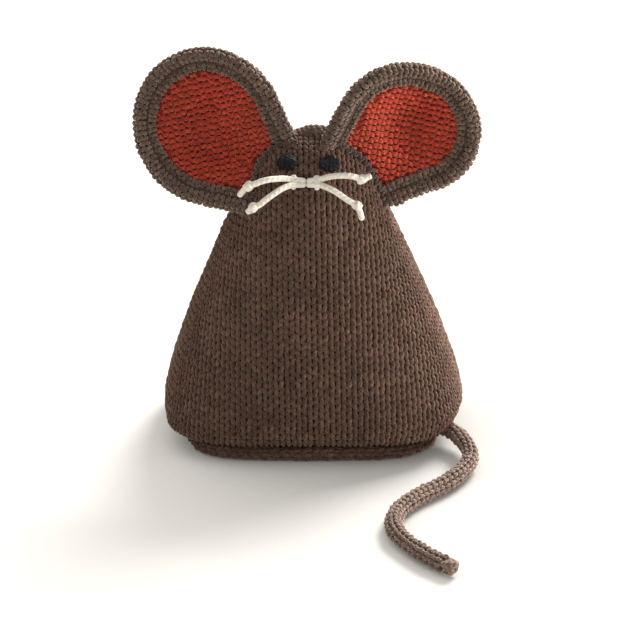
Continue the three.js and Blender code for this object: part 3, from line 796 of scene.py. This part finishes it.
baseShape = {
    "halfWidth": 58.7 * mm,
    "halfDepth": 46.4 * mm,
    "shift": -1 * mm,
    "square": 4.3,
    "ridgeWidth": 6.4 * mm,
    "ridgeHeight": 6.6 * mm,
    "sunk": 0.9 * mm,  # the ridge's stitches below its outer surface, and then the cloth behind them
    "coreSunk": 1.5 * mm,
    "step": 2 * mm,
    "ringPoints": 120,
    "stitchLength": 4.7 * mm,
    "columns": 4,
    "turn": 0.3,
    "jitter": 0.06,
    "stitch": {"foot": 0.13, "head": 0.36, "overrun": 0.25, "thick": 1.3 * mm, "flat": 0.9, "lift": 1.4 * mm},
    "inside": 7 * mm,  # from the ridge's outer edge to the panel's last stitches
    "sole": 1.25 * mm,  # how high over the table the panel's stitches lie
    "panel": 3.2 * mm,  # the cloth behind them
    "panelInset": 5.4 * mm,
    "panelThick": 1 * mm,
    "panelPoints": 96,
}


def baseRing(shape, inset, height, count):
    rounded = lambda part: math.copysign(abs(part) ** (2 / shape["square"]), part)
    line = []
    for turn in shares(count + 1)[:-1]:
        x = (shape["halfWidth"] - inset) * rounded(math.sin(2 * math.pi * turn))
        y = (shape["halfDepth"] - inset) * rounded(-math.cos(2 * math.pi * turn))
        line.append(Vector((baseX + shape["shift"] + x, y, height)))
    return line


def makeBase(shape):
    across = shape["ridgeWidth"] / 2
    tall = shape["ridgeHeight"] / 2
    ring = baseRing(shape, across, tall, shape["ringPoints"])
    rail = railAlong(ring + ring[:1], shape["step"], upward)
    length = rail["run"][-1]
    mean = (across + tall) / 2
    rows = round(length / shape["stitchLength"])
    gauge = width, height = 2 * math.pi * mean / shape["columns"], length / rows

    def place(x, y, z):
        radii = (across - shape["sunk"], tall - shape["sunk"])
        placed = onRail(rail, y % length, x / mean + shape["turn"], z, radii)
        placed[:, 2] = np.maximum(placed[:, 2], tableGap)
        return placed

    stitch = stitchMesh("ridgeStitch", shape["stitch"] | {"width": width, "height": height})
    ridge = knitCloth("ridge", stitch, (shape["columns"], rows), gauge, place, jitter=shape["jitter"])
    finishPiece("base_ridge", ridge, brownHeather, "base_yarn", ["base_welt"])
    coreBm = bmesh.new()
    core = (across - shape["coreSunk"], tall - shape["coreSunk"])
    addYarn(coreBm, rail["points"], core, 10, frames=rail["frames"])
    finishPiece("base_ridge_core", behind("ridgeCore", coreBm), brownHeather, "base_yarn")
    gauge = width, height = coverShape["width"], coverShape["height"]
    columns = int(2 * shape["halfWidth"] / width) + 1
    rows = int(2 * shape["halfDepth"] / height) + 1
    middle = (rows - 1) / 2
    inside = lambda column, row: (
        np.abs(column * width / (shape["halfWidth"] - shape["inside"])) ** shape["square"]
        + np.abs((row - middle) * height / (shape["halfDepth"] - shape["inside"])) ** shape["square"]
        < 1
    )
    under = lambda x, y, z: np.stack([baseX + shape["shift"] - x, y - middle * height, shape["sole"] - z], -1)
    sole = knitCloth("sole", stitchMesh("soleStitch", coverShape), (columns, rows), gauge, under, inside)
    finishPiece("base_stockinette", sole, brownHeather, "base_yarn", ["base_panel"])
    soleBm = bmesh.new()
    count = shape["panelPoints"]
    rim = bmesh.ops.create_circle(soleBm, cap_ends=True, segments=count, radius=1)["verts"]
    moveTo(rim, baseRing(shape, shape["panelInset"], shape["panel"], count))
    backing = thickened("soleBacking", soleBm, shape["panelThick"])
    finishPiece("base_cloth_behind", backing, brownHeather, "base_yarn")


makeBase(baseShape)
print("base knitted")


# The crown: a yarn oversews the top edge, slanting a little further along with each stitch.

crownShape = {
    "shift": 3.2 * mm,  # the seam's middle, to the right of the crown's
    "yarn": 1.175 * mm,
    "ends": 0.6,  # how thick a strand's ends are, as a share of its middle
    "lay": 5 * mm,
    "over": 0.2,  # how far a strand's middle is over the knitting, and how deep its ends go in
    "dip": 2.4,
    "strands": [
        # middle, slant, reach forward, reach back, how far it stands up
        [-9.6, -2.6, 4, 4.2, -0.3], [-7.6, -3, 4, 4.3, 0.1], [-5.6, -3.4, 4.2, 4.4, 0.6],
        [-3.6, -4.4, 4.8, 4.5, 1.1], [-1.3, -6.6, 6.6, 4.6, 1.7], [1.2, -7.8, 7.6, 4.6, 2.2],
        [3.8, -8, 7.8, 4.8, 2.3], [6.4, -7.6, 7, 4.6, 1.2],
    ],
    # place and radius of the drawn-up edge under them
    "ridge": [[-8.6, 0.3], [-4, 0.5], [0, 1], [4, 1.3], [7, 0.6]],
}


def dropOnBody(x, y):
    # the height of the toy's surface over a place on the table
    z = bodyShape["height"] + mm
    while z > 0 and not insideBody(np.array([[x, y, z]]), 0)[0]:
        z -= 0.2 * mm
    return z


def makeCrown(shape):
    bm = bmesh.new()
    middles = baseX + bodyShape["lean"] + shape["shift"]
    ridge = [Vector((middles + x * mm, 0, dropOnBody(middles + x * mm, 0))) for x, _ in shape["ridge"]]
    tones = [0.5] * len(addYarn(bm, ridge, [r * mm for _, r in shape["ridge"]], 8))
    for middle, slant, forward, back, rise in shape["strands"]:
        points = []
        sizes = []
        for t in shares(11):
            arch = math.sin(math.pi * t)
            x = middles + (middle + slant * (t - 0.5)) * mm
            y = (-forward + (forward + back) * t) * mm
            z = dropOnBody(x, y) + (shape["over"] + rise * arch + shape["dip"] * (arch**0.5 - 1)) * mm
            points.append(Vector((x, y, z)))
            sizes.append(shape["yarn"] * (shape["ends"] + (1 - shape["ends"]) * arch**0.5))
        tones += [dice.random()] * len(addYarn(bm, points, sizes, 8, lay=shape["lay"]))
    mesh = storeMesh("crown", bm)
    addAttribute(mesh, "tone", tones)
    finishPiece("crown_oversewing", mesh, brownHeatherPaintedLight, "brown_yarn", ["crown_seam"])


makeCrown(crownShape)
print("crown sewn")


# The ears: each has a rolled border, a coral lining with its purl side out, and a stocking stitch back.

earShape = {
    "overrun": 14 * mm,  # how far the border's ends go on into the head
    "bendReach": 9 * mm,  # the ear's bend line runs this far from its hinge, next to its seam
    "step": 1.5 * mm,
    "stitchWidth": 5 * mm,
    "dish": 6.5 * mm,
    "dishInset": 11.1 * mm,
    "rise": 1.2 * mm,
    "back": -5.7 * mm,  # the ear's rear surface behind its lining
    "tuckInset": 11.2 * mm,  # from here out the lining's edge goes down behind the cast-off edge
    "groove": 1.8 * mm,  # radius of the cloth that fills the groove between the two bands
    "grooveSteps": 90,
    "taller": 8 * mm,  # the ear's sheets are this much taller than wide, as they go down to the head
    "clothGrid": 64,
    "clothDrop": 6 * mm,
    "knitClear": 0.2 * mm,  # a stitch is left out where the head is nearer than this
    "clothClear": -1 * mm,
    "clothDeep": -1.5 * mm,
    "clothThick": 0.8 * mm,
}
# The border's columns run over its roll, from the groove by the lining to the back. The cast-off edge
# stands between the roll and the lining, its stitches smaller.
earBands = [
    {
        "inset": 3.8 * mm, "radii": (2.9 * mm, 3.4 * mm), "over": 0.9 * mm, "core": (2.1 * mm, 2.6 * mm),
        "coreSides": 12, "rows": 7, "start": 205, "rowTurn": 360 / 7, "clear": -1.5 * mm, "jitter": 0.05,
        "foot": 0.12, "head": 0.385, "overrun": 0.22, "thick": 1.2 * mm, "flat": 0.95, "lift": 1.5 * mm,
    },
    {
        "inset": 9.3 * mm, "radii": (1.7 * mm, 2 * mm), "over": 0.6 * mm, "core": 1.5 * mm,
        "coreSides": 8, "rows": 2, "start": 190, "rowTurn": 100, "clear": -0.5 * mm, "jitter": 0.07,
        "foot": 0.15, "head": 0.37, "overrun": 0.2, "thick": 1.1 * mm, "flat": 0.9, "lift": 1.5 * mm,
    },
]
# The knitting in front and behind, and how each lies: "middle" is where a stitch's middle is, in rows.
earSheets = {
    "lining": {
        "knit": "_lining_purl", "stitch": purlMesh, "wool": coralWool, "slot": "lining_yarn", "atBack": False,
        "inset": 10.8 * mm, "clothInset": 10.4 * mm, "sunk": 0.5 * mm, "tuckSlope": 0.6, "middle": 0,
        "width": 5.08 * mm, "height": 2.7 * mm, "reach": 1.25 * mm, "rise": 1.45 * mm, "lift": 1.3 * mm,
        "thick": 1 * mm,
    },
    "back": coverShape
    | {
        "knit": "_back_knit", "stitch": stitchMesh, "wool": brownHeatherPaintedLight, "slot": "brown_yarn",
        "atBack": True, "inset": 6.5 * mm, "clothInset": 5 * mm, "sunk": 0.4 * mm, "tuckSlope": 0,
        "middle": 0.5,
    },
}
earSides = {
    "left": {
        "radius": 35.6 * mm, "facing": Vector((-0.1, -0.94, 0.32)), "standOff": 23.7 * mm, "shift": 3.6 * mm,
        "curl": 4 * mm, "stretch": 0.043, "stretchTurn": 26, "flanks": (-108, 125), "rowTilt": 12,
    },
    "right": {
        "radius": 32.7 * mm, "facing": Vector((0.23, -0.97, 0.03)), "standOff": 21.4 * mm, "shift": 2.2 * mm,
        "curl": 5 * mm, "stretch": 0.085, "stretchTurn": 61, "flanks": (-114, 111), "rowTilt": -12,
    },
}
# The sewing yarn whips over the ear's edge and through the head, in front and behind.
sewingShape = {
    "points": 22,
    "length": 36 * mm,
    "apart": 3.4 * mm,
    "top": 20 * mm,  # from here it comes down in small steps to the head, or at most to the bottom
    "bottom": -24 * mm,
    "fall": 0.25 * mm,
    "step": 0.9 * mm,
    "high": (1.7 * mm, 0.1 * mm),  # over the head and outwards, at every other point
    "low": (-0.4 * mm, 0.6 * mm),
    "yarn": 0.95 * mm,
}


def earFrame(side, ear):
    joint = next(j for j in frame["joints"] if j["name"] == side + "_ear_fold")
    hinge = Vector(joint["axis"]).normalized()
    outward = ear["facing"].cross(hinge).normalized()
    return frameAt(Vector(joint["pos_m"]), hinge, outward, hinge.cross(outward))


def earReach(ear, inset, angle):
    # from the ear's middle to its outline, which is a little longer one way than the other
    turned = angle - math.radians(ear["stretchTurn"])
    return (ear["radius"] - inset) * (1 + ear["stretch"] * np.cos(2 * turned))


def curlAt(ear, x):
    return ear["curl"] * ((x - ear["shift"]) / ear["radius"]) ** 2


def earLine(ear, inset, overrun):
    start, end = np.radians(ear["flanks"])

    def onArc(a):
        reach = earReach(ear, inset, a)
        return ear["shift"] + reach * math.sin(a), ear["standOff"] + reach * math.cos(a)

    def foot(a):
        x, y = onArc(a)
        return x + (y + overrun) / math.tan(a), -overrun

    corners = [foot(start), *[onArc(start + (end - start) * t) for t in shares(25)], foot(end)]
    return [Vector((x, y, curlAt(ear, x))) for x, y in corners]


def onEar(ear, matrix, x, y, out, back=False):
    def heightAt(x, y):
        # the lining's front surface over a place in the ear's plane
        r = np.hypot(x - ear["shift"], y - ear["standOff"]) / (ear["radius"] - earShape["dishInset"])
        dish = earShape["dish"] / 2 * (1 + np.cos(np.pi * np.minimum(r, 1)))
        return earShape["rise"] - dish + curlAt(ear, x)

    z = heightAt(x, y)
    slopeX = (heightAt(x + probe, y) - z) / probe
    slopeY = (heightAt(x, y + probe) - z) / probe
    normal = np.stack([-slopeX, -slopeY, np.ones_like(z)], -1)
    normal /= np.linalg.norm(normal, axis=-1, keepdims=True)
    shift = earShape["back"] - out if back else out
    local = np.stack([x, y, z], -1) + normal * np.broadcast_to(shift, z.shape)[..., None]
    return local @ np.array(matrix.to_3x3()).T + np.array(matrix.translation)


def pastOutline(ear, x, y, inset):
    # how far a place is outside the ear's outline, a round with two straight flanks: less than 0 is inside
    dx = x - ear["shift"]
    dy = y - ear["standOff"]
    flanks = np.radians(ear["flanks"])
    polar = np.arctan2(dx, dy)
    onRound = (polar >= flanks[0]) & (polar <= flanks[1])
    straight = [dx * math.sin(a) + dy * math.cos(a) - earReach(ear, inset, a) for a in flanks]
    return np.where(onRound, np.hypot(dx, dy) - earReach(ear, inset, polar), np.maximum(*straight))


def knitBand(rail, columns, band):
    # stitches over a roll: their columns go round the rail, and their rows follow it
    length = rail["run"][-1]
    turn = math.radians(band["rowTurn"])
    gauge = width, height = length / columns, turn * (sum(band["radii"]) / 2 + band["over"])

    def place(x, y, z):
        angle = math.radians(band["start"]) - y / height * turn
        return onRail(rail, x + length / 2, angle, z, band["radii"])

    def keep(column, row):
        middles = place(column * width, (row + 0.5) * height, 0 * column)
        return ~insideBody(middles, band["clear"])

    stitch = stitchMesh("bandStitch", band | {"width": width, "height": height})
    return knitCloth("band", stitch, (columns, band["rows"]), gauge, place, keep, band["jitter"])


def knitSheet(ear, matrix, sheet):
    # stitches over the ear's front, in rows that tilt a little, or over its back
    rowAngle = 0
    if not sheet["atBack"]:
        tilt = math.radians(ear["rowTilt"])
        imageRow = matrix.to_3x3().inverted() @ Vector((math.cos(tilt), 0, math.sin(tilt)))
        rowAngle = math.atan2(imageRow.y, imageRow.x)
    cos = math.cos(rowAngle)
    sin = math.sin(rowAngle)
    gauge = width, height = sheet["width"], sheet["height"]
    span = 2 * (ear["radius"] - earSheets["lining"]["inset"])
    columns = int(span / width) + 3
    rows = int((span + earShape["taller"]) / height) + 3

    def spread(x, y):
        x = -x if sheet["atBack"] else x
        y = y - (rows - 1) / 2 * height
        return ear["shift"] + x * cos - y * sin, ear["standOff"] + x * sin + y * cos

    def place(x, y, z):
        x, y = spread(x, y)
        tucked = sheet["tuckSlope"] * pastOutline(ear, x, y, earShape["tuckInset"]).clip(0)
        return onEar(ear, matrix, x, y, z - sheet["sunk"] - tucked, sheet["atBack"])

    def keep(column, row):
        x, y = spread(column * width, (row + sheet["middle"]) * height)
        inHead = insideBody(onEar(ear, matrix, x, y, 0, sheet["atBack"]), earShape["knitClear"])
        return (pastOutline(ear, x, y, sheet["inset"]) < 0) & ~inHead

    return knitCloth("sheet", sheet["stitch"]("sheetStitch", sheet), (columns, rows), gauge, place, keep)


def clothSheet(ear, matrix, sheet):
    bm = bmesh.new()
    count = earShape["clothGrid"]
    grid = bmesh.ops.create_grid(bm, x_segments=count, y_segments=count, size=ear["radius"])["verts"]
    x, y, _ = np.array([v.co for v in grid]).T
    x = x + ear["shift"]
    y = y + ear["standOff"] - earShape["clothDrop"]
    inHead = insideBody(onEar(ear, matrix, x, y, 0, sheet["atBack"]), earShape["clothClear"])
    out = inHead | (pastOutline(ear, x, y, sheet["clothInset"]) >= 0)
    moveTo(grid, onEar(ear, matrix, x, y, earShape["clothDeep"], sheet["atBack"]))
    bmesh.ops.delete(bm, geom=[v for v, gone in zip(grid, out) if gone], context="VERTS")
    return thickened("earCloth", bm, earShape["clothThick"])


def sewEar(matrix, shape):
    bm = bmesh.new()
    for face in (1, -1):
        line = []
        for i, t in enumerate(shares(shape["points"])):
            x = (t - 0.5) * shape["length"]
            y = shape["top"]
            z = face * shape["apart"]
            while y > shape["bottom"] and not insideBody(np.array([matrix @ Vector((x, y, z))]), 0)[0]:
                y -= shape["fall"]
            over, out = shape["low" if i % 2 else "high"]
            line.append(matrix @ Vector((x, y + over, z + face * out)))
        addYarn(bm, throughPoints(line, shape["step"]), shape["yarn"], 6)
    return behind("earSewing", bm)


def makeEar(side, ear):
    matrix = earFrame(side, ear)
    hinge = matrix.translation.copy()
    name = "ear_" + side
    ride = {"body": name, "bend": (hinge, hinge + matrix.col[1].xyz * earShape["bendReach"])}
    bm = bmesh.new()
    coreBm = bmesh.new()
    rails = []
    for band in earBands:
        line = [matrix @ p for p in earLine(ear, band["inset"], earShape["overrun"])]
        rails.append(railAlong(line, earShape["step"], matrix.col[2].xyz))
        columns = round(rails[0]["run"][-1] / earShape["stitchWidth"])
        bm.from_mesh(knitBand(rails[-1], columns, band))
        addYarn(coreBm, rails[-1]["points"], band["core"], band["coreSides"], frames=rails[-1]["frames"])
    sides = [throughPoints(rail["points"], rail["run"][-1] / earShape["grooveSteps"]) for rail in rails]
    addYarn(coreBm, [(a + b) / 2 for a, b in zip(*sides)], earShape["groove"], 8)
    border = storeMesh("borderKnit", bm)
    finishPiece(name + "_border_knit", border, brownHeatherPaintedLight, "border_yarn", ["ear_border_" + side], **ride)
    finishPiece(name + "_border_core", behind("borderCore", coreBm), brownHeatherPaintedLight, "border_yarn", **ride)
    for label, sheet in earSheets.items():
        knit = knitSheet(ear, matrix, sheet)
        replaced = ["ear_" + label + "_" + side]
        finishPiece(name + sheet["knit"], knit, sheet["wool"], sheet["slot"], replaced, **ride)
    for label, sheet in earSheets.items():
        cloth = clothSheet(ear, matrix, sheet)
        finishPiece(name + "_cloth_behind_" + label, cloth, sheet["wool"], sheet["slot"], **ride)
    # the sewing yarn is painted in the darkest root shade, like the cloth behind the stitches
    sewing = sewEar(matrix, sewingShape)
    finishPiece(name + "_sewing", sewing, brownHeatherPaintedLight, "brown_yarn", ["ear_seam_" + side])


for sideName, sideEar in earSides.items():
    makeEar(sideName, sideEar)
    print("ear made:", sideName)


# The face.

eyeShape = {
    "places": {"left": [0.93, -0.413], "right": [0.926, 0.363]},
    "height": 7 * mm,
    "rise": 1.7 * mm,
    "sunk": 0.9,  # how deep a strand's ends go in, and how far out its middle bows from there, in rises
    "arch": 1.25,
    "yarn": 1.45 * mm,
    "ends": 0.55,
    # place across the eye, height as a share, and slant of each strand
    "strands": [
        [-3, 0.5, 0.5], [-1.3, 0.86, 0.3], [0.4, 1, -0.2], [2.1, 0.86, -0.4],
        [3.3, 0.46, -0.5], [-2.2, 0.62, 1.1], [1.3, 0.86, -1.1],
    ],
}
noseShape = {
    "places": {"left": [0.872, -0.218], "right": [0.871, 0.102]},
    "wrap": [2.3 * mm, 1.6 * mm],
    "out": 1.5 * mm,
    "wide": 0.9 * mm,
    "yarn": 1.15 * mm,
    "turns": 1.5,
    "start": -0.8,
}


def makeEye(side, shape):
    matrix = placeOnBody(*shape["places"][side])
    bm = bmesh.new()
    for x, tall, slant in shape["strands"]:
        line = []
        sizes = []
        for share in shares(9):
            t = share * 2 - 1
            arch = math.sqrt(max(0, 1 - t * t))
            out = (arch * shape["arch"] - shape["sunk"]) * shape["rise"]
            line.append(matrix @ Vector(((x + slant * t) * mm, t * tall * shape["height"] / 2, out)))
            sizes.append(shape["yarn"] * (shape["ends"] + (1 - shape["ends"]) * arch))
        addYarn(bm, line, sizes, 8)
    finishPiece("eye_" + side + "_strands", storeMesh("eye", bm), blackWool, "black_yarn", ["eye_" + side])


def makeNoseKnot(side, shape):
    matrix = placeOnBody(*shape["places"][side])
    line = []
    for t in shares(25):
        angle = 2 * math.pi * shape["turns"] * t + shape["start"]
        up = shape["wrap"][0] * math.cos(angle)
        out = shape["out"] + shape["wrap"][1] * math.sin(angle)
        line.append(matrix @ Vector(((t - 0.5) * shape["wide"], up, out)))
    bm = bmesh.new()
    addYarn(bm, line, shape["yarn"], 8, plies=2)
    name = "whisker_knot_" + side
    finishPiece(name + "_wrap", storeMesh("noseKnot", bm), ivoryWool, "ivory_yarn", [name])


for sideName in ("left", "right"):
    makeEye(sideName, eyeShape)
    makeNoseKnot(sideName, noseShape)
print("face sewn")


# The studio: white paper under an even white sky, a key lamp from behind on the right, and a weaker one
# from the right, just over the table.

studioShape = {
    "floor": 12,
    "paper": "e6e3dd",
    # the paper is overexposed in the picture: less of its light and an even glow stand for that
    "seenPaper": 0.58,
    "lift": 0.51,
    "liftColour": "fffaf1",
    "paintedShadowFade": 1.6,  # how fast the glow fades into a painted shadow where the toy stands before it
    "paintedShadowReach": 100 * mm,
    "glowFrom": (-0.5, 0.58, 0.64),
    "sky": 0.59,
    "lamps": [
        # strength, breadth in degrees and where it shines from
        ["key", 6, 26, (0.4, 0.7, 0.64)],
        ["side", 3.4, 14, (0.99, -0.07, 0.07)],
    ],
}


def seenRays(tree):
    # what the camera sees, straight or in a gloss or glass, gets the picture's white
    path = addNode(tree, "LightPath").outputs
    seen = path["Is Camera Ray"]
    for kind in ("Is Glossy Ray", "Is Transmission Ray"):
        seen = addNode(tree, "Math", {"operation": "MAXIMUM"}, {0: seen, 1: path[kind]}).outputs[0]
    return seen


def makeStudio(shape):
    bm = bmesh.new()
    bmesh.ops.create_grid(bm, x_segments=1, y_segments=1, size=shape["floor"] / 2)
    floor = bpy.data.objects.new("floor", storeMesh("floor", bm))
    scene.collection.objects.link(floor)
    paper = bpy.data.materials.new("whitePaper")
    paper.use_nodes = True
    tree = paper.node_tree
    shader = tree.nodes["Principled BSDF"]
    shader.inputs["Roughness"].default_value = 1
    shader.inputs["Specular IOR Level"].default_value = 0
    shader.inputs["Emission Color"].default_value = linear(shape["liftColour"])
    seen = seenRays(tree)
    share = addNode(tree, "MapRange", {"To Min": 1, "To Max": shape["seenPaper"]}, {"Value": seen})
    settings = {"operation": "SCALE", 0: linear(shape["paper"])[:3]}
    white = addNode(tree, "VectorMath", settings, {"Scale": share.outputs[0]})
    tree.links.new(white.outputs[0], shader.inputs["Base Color"])
    # painted light on the paper, for a window behind on the left; it fades to a painted shadow before the toy
    paintedShadowTilt = addNode(tree, "CombineXYZ", dict(enumerate(shape["glowFrom"])))
    settings = {"samples": 8, "Distance": shape["paintedShadowReach"]}
    near = addNode(tree, "AmbientOcclusion", settings, {"Normal": paintedShadowTilt.outputs[0]})
    settings = {"operation": "POWER", 1: shape["paintedShadowFade"]}
    paintedContactShadow = addNode(tree, "Math", settings, {0: near.outputs["AO"]})
    glow = addNode(tree, "Math", {"operation": "MULTIPLY", 1: shape["lift"]}, {0: paintedContactShadow.outputs[0]})
    shown = addNode(tree, "Math", {"operation": "MULTIPLY"}, {0: glow.outputs[0], 1: seen})
    tree.links.new(shown.outputs[0], shader.inputs["Emission Strength"])
    floor.data.materials.append(paper)
    world = scene.world or bpy.data.worlds.new("world")
    scene.world = world
    world.use_nodes = True
    tree = world.node_tree
    tree.nodes.clear()
    settings = {"To Min": shape["sky"], "To Max": 1}
    light = addNode(tree, "MapRange", settings, {"Value": seenRays(tree)})
    sky = addNode(tree, "Background", {"Color": (1, 1, 1, 1)}, {"Strength": light.outputs[0]})
    addNode(tree, "OutputWorld", None, {"Surface": sky.outputs[0]})
    for name, energy, width, towards in shape["lamps"]:
        sun = bpy.data.lights.new(name, "SUN")
        sun.energy = energy
        sun.angle = math.radians(width)
        lamp = bpy.data.objects.new(name, sun)
        scene.collection.objects.link(lamp)
        lamp.rotation_euler = Vector(towards).to_track_quat("Z", "Y").to_euler()


makeStudio(studioShape)
print("studio lit")
